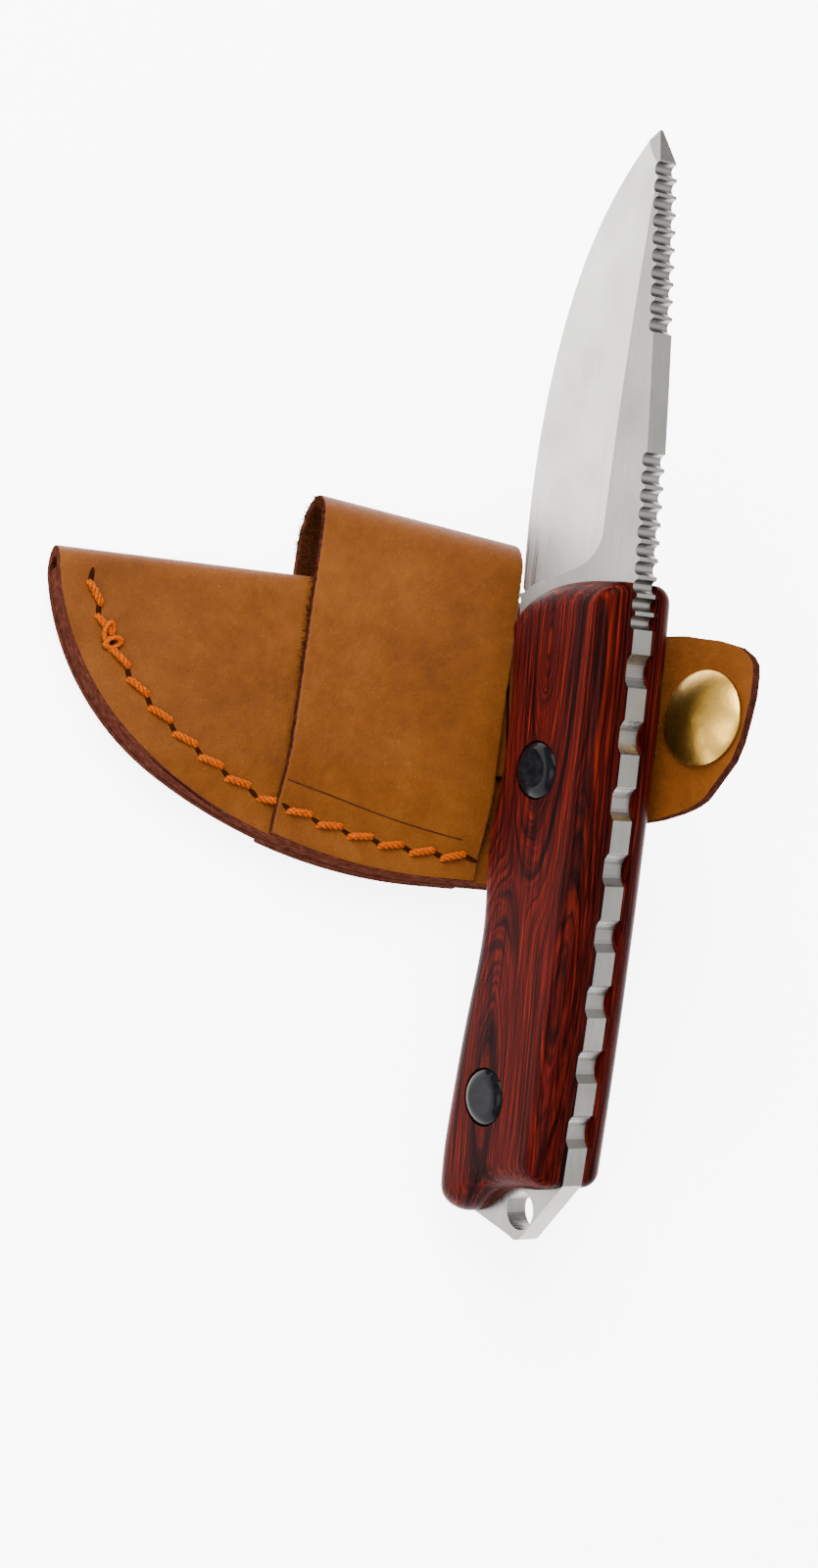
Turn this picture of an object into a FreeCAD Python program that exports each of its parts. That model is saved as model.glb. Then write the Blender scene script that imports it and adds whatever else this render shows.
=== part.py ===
import FreeCAD, Part
import math
import os
import Sketcher

# Fixed-blade field knife standing on its handle against the keeper strap of its
# leather belt sheath. Millimetres, +Z up. The origin lies on the underside of the
# belt loop, which is the face that the sheath rests on: +X points from the sheath's
# tip to its mouth, +Y from the sewn seam to the fold.

V = FreeCAD.Vector
doc = FreeCAD.newDocument("knife_and_sheath")

# ---------------------------------------------------------------- driving sizes

SIZES = [
    # knife: its own frame has +X to the tip, +Y to the left side, +Z to the spine,
    # and its origin on the front bolt's axis in the middle of the steel
    ("tang_thickness", 4.5, "full tang and spine of the blade"),
    ("blade_length", 82.5, "heel to tip"),
    ("heel_place", 33.0, "heel, forward of the front bolt"),
    ("spine_height", 14.9, "spine over the front bolt"),
    ("edge_drop", 18.1, "heel below the front bolt"),
    ("edge_land", 0.5, "thickness left at the cutting edge"),
    ("butt_place", 85.3, "end of the tang, behind the front bolt"),
    ("handle_drop", 12.0, "belly of the handle at the index finger, below the front bolt"),
    ("lobe_drop", 18.5, "belly of the handle at the butt, below the front bolt"),
    ("lanyard_diameter", 7.2, "lanyard hole in the tang"),
    ("lanyard_place", 79.7, "lanyard hole, behind the front bolt"),
    ("thumb_chord", 6.0, "width of one thumb scallop on the handle's spine"),
    ("thumb_pitch", 11.85, "step from one thumb scallop to the next"),
    ("thumb_depth", 1.3, "depth of one thumb scallop"),
    ("jimp_chord", 2.5, "width of one jimping notch"),
    ("jimp_pitch", 3.2, "step from one jimping notch to the next"),
    ("jimp_depth", 1.2, "depth of one jimping notch"),
    ("notch_reach", 0.9, "how far the notches run into each scale"),
    ("scale_thickness", 6.5, "one wooden scale"),
    ("scale_round", 5.0, "rounding of a scale's outer edge"),
    ("bolt_spacing", 59.9, "front bolt to rear bolt"),
    ("rear_bolt_drop", 5.7, "rear bolt below the front bolt"),
    ("bolt_head_diameter", 10.3, "bolt head"),
    ("bolt_head_depth", 2.2, "counterbore under a bolt head"),
    ("bolt_head_crown", 0.8, "bolt head above the scale"),
    ("bolt_head_flat", 5.6, "flat in the middle of a bolt head"),
    ("sleeve_diameter", 6.0, "barrel of a bolt sleeve"),
    ("screw_diameter", 4.0, "shank of a bolt screw"),
    ("socket_across", 3.0, "hex socket in a bolt screw, across flats"),
    ("fit_gap", 0.1, "radial clearance of a barrel in its hole"),
    ("head_gap", 0.2, "radial clearance of a head in its counterbore"),
    # sheath
    ("leather", 2.0, "thickness of all the leather"),
    ("fold_cavity", 4.6, "space for the spine at the fold"),
    ("seam_cavity", 2.6, "thinnest welt, along the bottom seam"),
    ("pocket_left", 51.0, "tip of the pocket, left of the origin"),
    ("pocket_mouth", 48.0, "mouth of the pocket, right of the origin"),
    ("fold_place", 28.0, "fold above the origin"),
    ("seam_low", 28.0, "lowest point of the seam edge below the origin"),
    ("seam_low_place", 24.0, "lowest point of the seam edge, right of the origin"),
    ("tip_round", 48.0, "radius of the seam edge at the tip"),
    ("welt_width", 9.0, "width of the welt"),
    ("loop_width", 41.0, "belt loop"),
    ("loop_place", 14.6, "middle of the belt loop, right of the origin"),
    ("loop_turn", 7.0, "belt loop's slant to the fold, in degrees"),
    ("loop_height", 15.0, "belt loop over its underside"),
    ("loop_reach", 6.0, "belt loop's bend centre beyond the fold"),
    ("strap_width", 34.0, "keeper strap"),
    ("strap_middle", -3.3, "middle of the keeper strap"),
    ("strap_start", 37.5, "keeper strap leaves the belt loop here"),
    ("strap_lift", 0.0, "slope of the keeper strap as it leaves, in degrees"),
    ("strap_foot", 1.8, "length of that first run"),
    ("strap_slope", 66.8, "slope of the keeper strap beside the handle, in degrees"),
    ("strap_rise", 58.1, "length of the run beside the handle"),
    ("strap_bend", 1.5, "radius of the bend between the two runs"),
    ("tail_width", 22.0, "sewn root of the keeper strap"),
    ("tail_length", 17.0, "sewn root of the keeper strap, under the belt loop"),
    ("tail_middle", 3.0, "middle of the sewn root"),
    ("snap_diameter", 17.4, "snap cap"),
    ("snap_crown", 3.8, "snap cap over the strap"),
    ("snap_back", 11.2, "snap cap's centre from the strap's end"),
    ("snap_post_diameter", 3.0, "post through the leather"),
    ("snap_socket_diameter", 10.4, "socket under the strap"),
    ("snap_socket_height", 2.8, "socket under the strap"),
    ("stud_diameter", 6.6, "stud's bulb"),
    ("stud_place", 43.0, "stud, right of the origin"),
    ("stud_height", 1.8, "stud below the back panel"),
    ("thread_diameter", 1.4, "seam thread"),
    ("stitch_length", 4.7, "one stitch that shows"),
    ("stitch_pitch", 6.25, "step from one stitch to the next"),
    ("stitch_inset", 4.2, "stitch line to the seam edge at the lowest point"),
    ("stitch_tip_inset", 5.6, "stitch line to the seam edge at the tip"),
    # how the knife stands
    ("stand_x", 38.2, "front bolt's middle"),
    ("stand_y", -12.1, "front bolt's middle"),
    ("stand_z", 39.5, "front bolt's middle"),
    ("stand_yaw", 90.9, "knife's long axis in plan, in degrees"),
    ("stand_pitch", -14.0, "knife's long axis to the table, in degrees"),
    ("stand_roll", 17.2, "lean of the knife, in degrees"),
]

sheet = doc.addObject("Spreadsheet::Sheet", "Dims")
for row, (alias, number, meaning) in enumerate(SIZES, start=1):
    sheet.set(f"A{row}", alias)
    sheet.set(f"B{row}", str(number))
    sheet.set(f"C{row}", meaning)
    sheet.setAlias(f"B{row}", alias)
doc.recompute()


def size(alias):
    """Number held by a cell."""
    return float(sheet.get(alias))


def value(expression):
    """Number that an expression over the sheet's cells gives."""
    found = sheet.evalExpression(expression)
    return float(getattr(found, "Value", found))


# ------------------------------------------------------------- helpers for bodies

def new_body(label):
    body = doc.addObject("PartDesign::Body", "Body_" + label)
    body.Label = label
    return body


def new_sketch(body, name, role):
    """Sketch on one of the body's own origin planes."""
    sketch = body.newObject("Sketcher::SketchObject", body.Label + "_" + name)
    plane = [item for item in body.Origin.OriginFeatures if item.Role == role][0]
    sketch.AttachmentSupport = (plane, "")
    sketch.MapMode = "FlatFace"
    return sketch


def pin_point(sketch, geometry, end, name, expressions):
    """Hold one point of a sketch at two expressions, measured from the origin."""
    for kind, axis, expression in (("DistanceX", -2, expressions[0]), ("DistanceY", -1, expressions[1])):
        if abs(value(expression)) < 1e-7:
            sketch.addConstraint(Sketcher.Constraint("PointOnObject", geometry, end, axis))
            continue
        index = sketch.addConstraint(Sketcher.Constraint(kind, -1, 1, geometry, end, value(expression)))
        sketch.renameConstraint(index, f"{name}_{kind[-1].lower()}")
        sketch.setExpression(f"Constraints.{name}_{kind[-1].lower()}", expression)


def arc_middle(start, finish, radius, side):
    """Middle point of the shorter arc between two points, bulging to the left (+1) or right (-1)."""
    chord = finish - start
    half = chord.Length / 2
    rise = radius - math.sqrt(radius * radius - half * half)
    across = V(-chord.y, chord.x, 0) / chord.Length
    return (start + finish) / 2 + across * (rise * side)


def draw_outline(sketch, corners):
    """Closed outline. A corner is (x, y) before a straight run, or (x, y, radius, side)
    before an arc; x, y and radius are expressions over the sheet's cells."""
    places = [V(value(corner[0]), value(corner[1]), 0) for corner in corners]
    first = sketch.GeometryCount
    ends = []
    for number, corner in enumerate(corners):
        start = places[number]
        finish = places[(number + 1) % len(corners)]
        if len(corner) == 2:
            sketch.addGeometry(Part.LineSegment(start, finish), False)
            ends.append((1, 2))
            continue
        middle = arc_middle(start, finish, value(corner[2]), corner[3])
        forwards = corner[3] < 0
        run = (start, middle, finish) if forwards else (finish, middle, start)
        index = sketch.addGeometry(Part.Arc(*run), False)
        ends.append((1, 2) if forwards else (2, 1))
        held = sketch.addConstraint(Sketcher.Constraint("Radius", index, value(corner[2])))
        sketch.renameConstraint(held, f"radius_{index}")
        sketch.setExpression(f"Constraints.radius_{index}", corner[2])
    for number, corner in enumerate(corners):
        after = (number + 1) % len(corners)
        sketch.addConstraint(Sketcher.Constraint(
            "Coincident", first + number, ends[number][1], first + after, ends[after][0]))
        pin_point(sketch, first + number, ends[number][0], f"corner_{first + number}", corner[:2])


def draw_circle(sketch, name, x, y, radius):
    index = sketch.addGeometry(Part.Circle(V(value(x), value(y), 0), V(0, 0, 1), value(radius)), False)
    held = sketch.addConstraint(Sketcher.Constraint("Radius", index, value(radius)))
    sketch.renameConstraint(held, name + "_radius")
    sketch.setExpression(f"Constraints.{name}_radius", radius)
    pin_point(sketch, index, 3, name, (x, y))


def pad(body, sketch, length, symmetric=False, backwards=False):
    feature = body.newObject("PartDesign::Pad", sketch.Name + "_pad")
    feature.Profile = sketch
    feature.setExpression("Length", length)
    feature.Midplane = symmetric
    feature.Reversed = backwards
    sketch.Visibility = False
    doc.recompute()
    return feature


def cut_through(body, sketch):
    """Pocket right through the body, both ways; it must take something away."""
    before = body.Shape.Volume
    feature = body.newObject("PartDesign::Pocket", sketch.Name + "_cut")
    feature.Profile = sketch
    feature.Type = "ThroughAll"
    feature.Midplane = True
    doc.recompute()
    if body.Shape.Volume > before - 1e-3:
        raise RuntimeError(sketch.Name + " cuts nothing")
    return feature


def turn(body, sketch):
    """Solid of revolution about the sketch's vertical axis."""
    feature = body.newObject("PartDesign::Revolution", sketch.Name + "_turn")
    feature.Profile = sketch
    feature.ReferenceAxis = (sketch, ["V_Axis"])
    feature.Angle = 360
    doc.recompute()
    return feature


def new_part(label, shape, placement=None):
    """Sub-part whose shape comes from Part's own functions."""
    feature = doc.addObject("Part::Feature", "Solid_" + label)
    feature.Label = label
    feature.Shape = shape.removeSplitter()
    if placement is not None:
        feature.Placement = placement
    return feature


# ------------------------------------------------------------------ knife: places

tang = size("tang_thickness")
scale = size("scale_thickness")
spine = size("spine_height")
heel_x = size("heel_place")
heel_z = -size("edge_drop")
blade = size("blade_length")
tip = V(heel_x + blade, 0, spine - 7.7)
butt = -size("butt_place")
finger_z = -size("handle_drop")
lobe_z = -size("lobe_drop")

stand = FreeCAD.Placement(
    V(size("stand_x"), size("stand_y"), size("stand_z")),
    FreeCAD.Rotation(size("stand_yaw"), size("stand_pitch"), size("stand_roll")))


def side_curve(points):
    """Smooth edge through points (x, z) of the knife's side view."""
    line = Part.BSplineCurve()
    line.interpolate([V(x, 0, z) for x, z in points])
    return line.toShape()


def side_line(first, second):
    return Part.LineSegment(V(first[0], 0, first[1]), V(second[0], 0, second[1])).toShape()


def side_arc(first, middle, last):
    return Part.Arc(V(first[0], 0, first[1]), V(middle[0], 0, middle[1]), V(last[0], 0, last[1])).toShape()


def side_prism(edges, low, high):
    """Side-view outline made solid from y = low to y = high."""
    face = Part.Face(Part.Wire(Part.__sortEdges__(edges)))
    face.translate(V(0, low, 0))
    return face.extrude(V(0, high - low, 0))


def spine_at(x):
    """Height of the spine: crowned over the handle, falling to the tip and the butt."""
    if x > 25:
        return spine + 0.1 - 5.3 * ((x - 25) / (heel_x + blade - 31)) ** 1.7
    return spine + 0.1 - 4.4 * ((25 - x) / (25 - butt - 11.9)) ** 1.9


# the spine runs from the corner over the lanyard hole to just behind the tip
shoulder_x = butt + 11.9
nose_x = tip.x - 5.7
spine_points = [(x, spine_at(x)) for x in (shoulder_x, -45, -10, 25, 58, 84, nose_x)]
belly_points = [
    (19.5, finger_z), (8, finger_z + 0.3), (-2, finger_z - 0.2), (-13, finger_z - 1.9),
    (-28, finger_z - 1.3), (-45, finger_z - 3.4), (-62, lobe_z + 0.9), (butt + 9.5, lobe_z)]

# --------------------------------------------------------------- knife: the blade

edge_points = [
    (heel_x, heel_z), (heel_x + 0.27 * blade, heel_z + 0.2), (heel_x + 0.52 * blade, heel_z + 3.2),
    (heel_x + 0.77 * blade, heel_z + 10.2), (tip.x, tip.z)]
heel = (heel_x, heel_z)
choil_front = (heel_x - 2.2, heel_z + 1.9)
choil_back = (heel_x - 8, heel_z + 2.3)
belly_start = belly_points[0]
belly_end = belly_points[-1]
shoulder = (shoulder_x, spine_at(shoulder_x))
butt_high = (butt + 0.5, 0.4)
butt_mid = (butt, -0.9)
butt_low = (butt + 0.4, -2.2)
lobe_corner = (butt + 3.3, lobe_z + 5.5)
steel = side_prism([
    side_curve(edge_points),
    side_line((tip.x, tip.z), (nose_x, spine_at(nose_x))),
    side_curve(spine_points[::-1]),
    side_line(shoulder, butt_high),
    side_arc(butt_high, butt_mid, butt_low),
    side_line(butt_low, lobe_corner),
    side_arc(lobe_corner, (butt + 5.0, lobe_z + 1.6), belly_end),
    side_curve(belly_points[::-1]),
    side_arc(belly_start, (heel_x - 11.2, heel_z + 4.4), choil_back),
    side_line(choil_back, choil_front),
    side_line(choil_front, heel)], -tang / 2, tang / 2)


def grind_cutter(side):
    """What the grinding wheel takes off one side: a wedge between the grind line near
    the spine and the cutting edge, ended by the curved plunge line at the ricasso."""
    sections = []
    half = tang / 2
    land = size("edge_land") / 2
    stations = (-0.06, 0.1, 0.3, 0.5, 0.7, 0.86, 1.03)
    for share in stations:
        x = heel_x + share * blade
        low = edge_height(x) - 0.6
        high = spine - 10.4 + 6.2 * max(share, 0.0) ** 1.6
        deep = land + 0.6 * (half - land) / (high - low)
        corners = [V(x, side * (half + 0.02), high), V(x, side * (land - 0.02), low),
                   V(x, side * (half + 4), low), V(x, side * (half + 4), high)]
        sections.append(Part.makePolygon(corners + corners[:1]))
    wedge = Part.makeLoft(sections, True, False)
    top = spine - 10.2
    plunge = side_prism([
        side_curve([(heel_x - 0.9, heel_z + 2.9), (heel_x + 2.6, heel_z + 12), (heel_x + 5.4, top - 3.4),
                    (heel_x + 11, top)]),
        side_line((heel_x + 11, top), (heel_x + 11, spine + 4)),
        side_line((heel_x + 11, spine + 4), (tip.x + 5, spine + 4)),
        side_line((tip.x + 5, spine + 4), (tip.x + 5, heel_z - 4)),
        side_line((tip.x + 5, heel_z - 4), (heel_x - 2.4, heel_z - 4)),
        side_line((heel_x - 2.4, heel_z - 4), (heel_x - 0.9, heel_z + 2.9))],
        -tang * 3, tang * 3)
    return wedge.common(plunge)


edge_curve = side_curve(edge_points)


def edge_height(x):
    """Height of the cutting edge at a place along the blade."""
    reach = min(max(x, heel_x), tip.x - 0.01)
    upright = Part.LineSegment(V(reach, 0, heel_z - 20), V(reach, 0, spine + 20)).toShape()
    return edge_curve.distToShape(upright)[1][0][0].z


def notch(x, chord, depth, reach):
    """Round-bottomed groove across the spine, cut by a wheel whose axis lies across the knife."""
    radius = (chord * chord / 4 + depth * depth) / (2 * depth)
    centre = V(x, -reach, spine_at(x) + radius - depth)
    return Part.makeCylinder(radius, 2 * reach, centre, V(0, 1, 0))


def notch_row(first, count, pitch, chord, depth, reach):
    return [notch(first - step * pitch, chord, depth, reach) for step in range(count)]


jimp = (size("jimp_pitch"), size("jimp_chord"), size("jimp_depth"))
handle_reach = tang / 2 + size("notch_reach")
upper_jimping = notch_row(nose_x - 1.6, 10, 3.09, jimp[1], jimp[2], tang)
lower_jimping = notch_row(56.6, 7, jimp[0], jimp[1], jimp[2], tang)
grip_jimping = notch_row(56.6 - 7 * jimp[0], 3, jimp[0], jimp[1], jimp[2], handle_reach)
thumb_scallops = notch_row(19.2, 8, size("thumb_pitch"), size("thumb_chord"), size("thumb_depth"), handle_reach)

bolt_places = {"front": V(0, 0, 0), "rear": V(-size("bolt_spacing"), 0, -size("rear_bolt_drop"))}
lanyard = V(-size("lanyard_place"), 0, -0.2)
barrel_hole = size("sleeve_diameter") / 2 + size("fit_gap")


def cross_hole(radius, place, low, high):
    return Part.makeCylinder(radius, high - low, V(place.x, low, place.z), V(0, 1, 0))




def tip_cutter(side):
    """Flat that thins the spine behind the tip, so that the tip comes to a point."""
    start = nose_x - 1.0
    end = tip.x + 1.0
    corners = [V(start, side * tang / 2, 0), V(end, side * 0.05, 0), V(end, side * tang, 0), V(start, side * tang, 0)]
    face = Part.Face(Part.makePolygon(corners + corners[:1]))
    return face.extrude(V(0, 0, 2 * spine))


steel = steel.cut(grind_cutter(1)).cut(grind_cutter(-1)).cut(tip_cutter(1)).cut(tip_cutter(-1))
steel = steel.cut(upper_jimping + lower_jimping + grip_jimping + thumb_scallops)
steel = steel.cut([cross_hole(barrel_hole, place, -tang, tang) for place in bolt_places.values()])
steel = steel.cut(cross_hole(size("lanyard_diameter") / 2, lanyard, -tang, tang))
new_part("blade", steel, stand)

# --------------------------------------------------------------- knife: the scales

scale_front = heel_x + 1.8
front_high = (scale_front, spine_at(scale_front))
front_low = (scale_front - 8.6, finger_z - 1.2)
butt_top = (shoulder_x, spine_at(shoulder_x))
butt_lobe = (butt + 4.8, lobe_z + 0.4)
scale_edges = [
    side_curve([butt_top, (-45, spine_at(-45)), (-10, spine_at(-10)), (25, spine_at(25)), front_high]),
    side_curve([front_high, (scale_front - 0.3, 4), (scale_front - 2.6, -6), front_low]),
    side_curve([front_low] + belly_points[1:] + [butt_lobe]),
    side_curve([butt_lobe, (butt + 5.0, -8.2), (butt + 9.0, -2.5), (butt + 10.2, 4.2), butt_top])]
corner_rounds = [(butt_lobe, 3.5), (front_low, 2.0), (front_high, 2.0), (butt_top, 2.0)]
head_hole = size("bolt_head_diameter") / 2 + size("head_gap")


def scale_blank():
    """The left scale before its holes: outline, round corners, rounded outer edge."""
    inner, outer = tang / 2, tang / 2 + scale
    wood = side_prism(scale_edges, inner, outer)
    for (x, z), radius in corner_rounds:
        upright = [edge for edge in wood.Edges if edge.BoundBox.YLength > scale / 2
                   and math.hypot(edge.BoundBox.XMin - x, edge.BoundBox.ZMin - z) < 0.01]
        wood = wood.makeFillet(radius, upright)
    outside = [edge for edge in wood.Edges
               if abs(edge.BoundBox.YMin - outer) < 1e-4 and edge.BoundBox.YLength < 1e-4]
    return wood.makeFillet(size("scale_round"), outside)


def make_scale(label, blank, side):
    """One wooden scale: side is +1 on the left of the steel and -1 on the right."""
    wood = blank.cut(grip_jimping + thumb_scallops)
    for place in bolt_places.values():
        wood = wood.cut(cross_hole(barrel_hole, place, -tang * 4, tang * 4))
        floor = side * (tang / 2 + scale - size("bolt_head_depth"))
        bottom, top = sorted((floor, side * (tang / 2 + scale + 5)))
        wood = wood.cut(cross_hole(head_hole, place, bottom, top))
    new_part(label, wood, stand)


left_blank = scale_blank()
make_scale("left_scale", left_blank, 1)
make_scale("right_scale", left_blank.mirror(V(0, 0, 0), V(0, 1, 0)), -1)

# ---------------------------------------------------------------- knife: the bolts

HALF = "(Dims.tang_thickness / 2 + Dims.scale_thickness)"
SEAT = f"({HALF} - Dims.bolt_head_depth)"
HEAD = "Dims.bolt_head_diameter / 2"
CROWN = f"{HALF} + Dims.bolt_head_crown"
SHOULDER = f"{HALF} - 0.3"
DOME_R = "2.6"
BARREL = "Dims.sleeve_diameter / 2"
SHANK = "Dims.screw_diameter / 2"
BARREL_END = f"0.6 - {SEAT}"
SHANK_END = f"1 - {SEAT}"


def place_bolt(body, place, flip):
    """A bolt's own Z axis lies across the knife, its head outwards."""
    spin = FreeCAD.Rotation(V(1, 0, 0), 90 if flip else -90)
    body.Placement = stand.multiply(FreeCAD.Placement(place, spin))


for end, place in bolt_places.items():
    sleeve = new_body(end + "_bolt_sleeve")
    profile = new_sketch(sleeve, "profile", "XZ_Plane")
    draw_outline(profile, [
        ("0", f"{SEAT} - 1"), (SHANK, f"{SEAT} - 1"), (SHANK, BARREL_END), (BARREL, BARREL_END), (BARREL, SEAT),
        (HEAD, SEAT), (HEAD, SHOULDER, DOME_R, -1), ("Dims.bolt_head_flat / 2", CROWN), ("0", CROWN)])
    turn(sleeve, profile)
    place_bolt(sleeve, place, False)

    screw = new_body(end + "_bolt_screw")
    profile = new_sketch(screw, "profile", "XZ_Plane")
    draw_outline(profile, [
        ("0", SHANK_END), (SHANK, SHANK_END), (SHANK, SEAT), (HEAD, SEAT), (HEAD, SHOULDER, DOME_R, -1),
        ("Dims.bolt_head_flat / 2", CROWN), ("0", CROWN)])
    turn(screw, profile)
    drive = new_sketch(screw, "drive", "XY_Plane")
    across = "Dims.socket_across / sqrt(3)"
    draw_outline(drive, [(f"{across} * {round(math.cos(math.radians(60 * step)), 6)}",
                          f"{across} * {round(math.sin(math.radians(60 * step)), 6)}") for step in range(6)])
    drive.setExpression("AttachmentOffset.Base.z", f"{CROWN} - 1.5")
    doc.recompute()
    before = screw.Shape.Volume
    socket = screw.newObject("PartDesign::Pocket", end + "_drive_cut")
    socket.Profile = drive
    socket.Length = 5
    socket.Reversed = True
    doc.recompute()
    if screw.Shape.Volume > before - 1:
        raise RuntimeError("the hex socket cuts nothing")
    place_bolt(screw, place, True)

# ------------------------------------------------------- sheath: the shared outline

LEFT = "(-Dims.pocket_left)"
FOLD = "Dims.fold_place"
LOW = "(-Dims.seam_low)"
LOW_X = "Dims.seam_low_place"
TIP_R = "Dims.tip_round"
RUN = f"({LOW_X} - {LEFT} - {TIP_R})"
DEPTH = f"({FOLD} - {LOW})"
LOW_R = f"(({RUN} * {RUN} + {DEPTH} * {DEPTH} - {TIP_R} * {TIP_R}) / (2 * ({DEPTH} - {TIP_R})))"
FAR = "(Dims.pocket_mouth + 12)"


def seam_edge(inset):
    """Seam edge from the fold down to its lowest point: a tight arc at the tip, tangent
    to a flatter one along the bottom. Inset moves it inwards."""
    across = f"(-{RUN} / ({LOW_R} - {TIP_R}))"
    down = f"(({DEPTH} - {LOW_R}) / ({LOW_R} - {TIP_R}))"
    return [
        (f"{LEFT} + {inset}", FOLD, f"{TIP_R} - {inset}", -1),
        (f"{LEFT} + {TIP_R} + ({TIP_R} - {inset}) * {across}", f"{FOLD} + ({TIP_R} - {inset}) * {down}",
         f"{LOW_R} - {inset}", -1),
        (LOW_X, f"{LOW} + {inset}")]


def trim_to_seam(body):
    """Cut away what lies outside the seam edge."""
    waste = new_sketch(body, "waste", "XY_Plane")
    draw_outline(waste, seam_edge("0") + [
        (FAR, LOW), (FAR, f"{LOW} - 30"), (f"{LEFT} - 30", f"{LOW} - 30"), (f"{LEFT} - 30", f"{FOLD} + 30"),
        (LEFT, f"{FOLD} + 30")])
    return waste


# ------------------------------------------------------------- sheath: the pocket

# The section is a U on its side: a flat back panel, the fold, and a front panel that
# stands off by the spine's thickness at the fold and comes down to the thin seam.
BASE = "Dims.leather"
T = "Dims.leather"
TOP = f"({BASE} + 2 * {T} + Dims.fold_cavity)"
SEAM_TOP = f"({BASE} + 2 * {T} + Dims.seam_cavity)"
BEND = f"({T} + Dims.fold_cavity / 2)"
BEND_IN = "(Dims.fold_cavity / 2)"
MIDDLE = f"({BASE} + {BEND})"
FOLD_IN = f"({FOLD} - {BEND})"
SLOPE_HIGH = f"({LOW} + 20)"
SLOPE_LOW = f"({LOW} + 8)"

pocket = new_body("pocket")
section = new_sketch(pocket, "section", "YZ_Plane")
draw_outline(section, [
    (f"{LOW} - 1", BASE), (FOLD_IN, BASE, BEND, -1), (FOLD, MIDDLE, BEND, -1), (FOLD_IN, TOP), (SLOPE_HIGH, TOP),
    (SLOPE_LOW, SEAM_TOP), (f"{LOW} - 1", SEAM_TOP), (f"{LOW} - 1", f"{SEAM_TOP} - {T}"),
    (SLOPE_LOW, f"{SEAM_TOP} - {T}"), (SLOPE_HIGH, f"{TOP} - {T}"), (FOLD_IN, f"{TOP} - {T}", BEND_IN, 1),
    (f"{FOLD} - {T}", MIDDLE, BEND_IN, 1), (FOLD_IN, f"{BASE} + {T}"), (f"{LOW} - 1", f"{BASE} + {T}")])
section.setExpression("AttachmentOffset.Base.z", "-Dims.pocket_left")
pad(pocket, section, "Dims.pocket_left + Dims.pocket_mouth")
cut_through(pocket, trim_to_seam(pocket))
post_hole = new_sketch(pocket, "post_hole", "XY_Plane")
draw_circle(post_hole, "post", "Dims.stud_place", "Dims.strap_middle", "Dims.snap_post_diameter / 2")
doc.recompute()
hole = pocket.newObject("PartDesign::Pocket", "post_hole_cut")
hole.Profile = post_hole
hole.setExpression("Length", f"{BASE} + {T} + 1")
hole.Reversed = True
doc.recompute()

# ---------------------------------------------------------------- sheath: the welt

# The welt fills the wedge between the two panels along the seam, so its blank is as
# thick as the cavity at the fold and the front panel trims it.
blank = new_body("welt_blank")
strip = new_sketch(blank, "strip", "XY_Plane")
inner = seam_edge("Dims.welt_width")
draw_outline(strip, seam_edge("0") + [
    ("Dims.pocket_mouth", LOW), ("Dims.pocket_mouth", f"{LOW} + Dims.welt_width"),
    (inner[2][0], inner[2][1], inner[1][2], 1), (inner[1][0], inner[1][1], inner[0][2], 1), inner[0][:2]])
strip.setExpression("AttachmentOffset.Base.z", f"{BASE} + {T}")
pad(blank, strip, "Dims.fold_cavity")
front_trim = new_body("welt_trim")
above = new_sketch(front_trim, "above", "YZ_Plane")
draw_outline(above, [
    (f"{FOLD_IN}", f"{TOP} - {T}"), (SLOPE_HIGH, f"{TOP} - {T}"), (SLOPE_LOW, f"{SEAM_TOP} - {T}"),
    (f"{LOW} - 2", f"{SEAM_TOP} - {T}"), (f"{LOW} - 2", f"{TOP} + 5"), (f"{FOLD_IN}", f"{TOP} + 5")])
pad(front_trim, above, "4 * Dims.pocket_left", symmetric=True)
fold_trim = new_body("welt_fold_trim")
behind = new_sketch(fold_trim, "behind", "XY_Plane")
draw_outline(behind, [
    (f"{LEFT} - 5", f"{FOLD_IN} - 0.4"), (FAR, f"{FOLD_IN} - 0.4"), (FAR, f"{FOLD} + 5"), (f"{LEFT} - 5", f"{FOLD} + 5")])
pad(fold_trim, behind, f"4 * {TOP}", symmetric=True)
under_front = doc.addObject("Part::Cut", "welt_under_front")
under_front.Base = blank
under_front.Tool = front_trim
welt = doc.addObject("Part::Cut", "Cut_welt")
welt.Base = under_front
welt.Tool = fold_trim
welt.Label = "welt"

# ----------------------------------------------------------- sheath: the belt loop

# One long strap of leather: both ends are sewn into the seam, it lies under the back
# panel, bends beyond the fold and comes back over the front panel.
LOOP_R = "(Dims.loop_height / 2)"
LOOP_C = f"({FOLD} + Dims.loop_reach)"
LOOP_UP = "Dims.loop_height"
FRONT_UNDER = f"({TOP} + {T} + 0.2)"
END_Y = f"({LOW} - 6)"
RAMP_LOW = f"({SLOPE_LOW} - 4)"
RAMP_HIGH = f"({SLOPE_HIGH} - 0.5)"
loop = new_body("belt_loop_blank")
run = new_sketch(loop, "run", "YZ_Plane")
draw_outline(run, [
    (END_Y, "0"), (LOOP_C, "0", LOOP_R, -1), (f"{LOOP_C} + {LOOP_R}", LOOP_R, LOOP_R, -1), (LOOP_C, LOOP_UP),
    (RAMP_HIGH, f"{FRONT_UNDER} + {T}"), (f"{RAMP_LOW} - 0.6", f"{SEAM_TOP} + {T}"),
    (END_Y, f"{SEAM_TOP} + {T}"), (END_Y, SEAM_TOP), (RAMP_LOW, SEAM_TOP), (RAMP_HIGH, FRONT_UNDER), (LOOP_C, f"{LOOP_UP} - {T}", f"{LOOP_R} - {T}", 1),
    (f"{LOOP_C} + {LOOP_R} - {T}", LOOP_R, f"{LOOP_R} - {T}", 1), (LOOP_C, T), (END_Y, T)])
pad(loop, run, "Dims.loop_width", symmetric=True)
loop.setExpression("Placement.Base.x", "Dims.loop_place")
loop.setExpression("Placement.Rotation.Angle", "-Dims.loop_turn")
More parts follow.
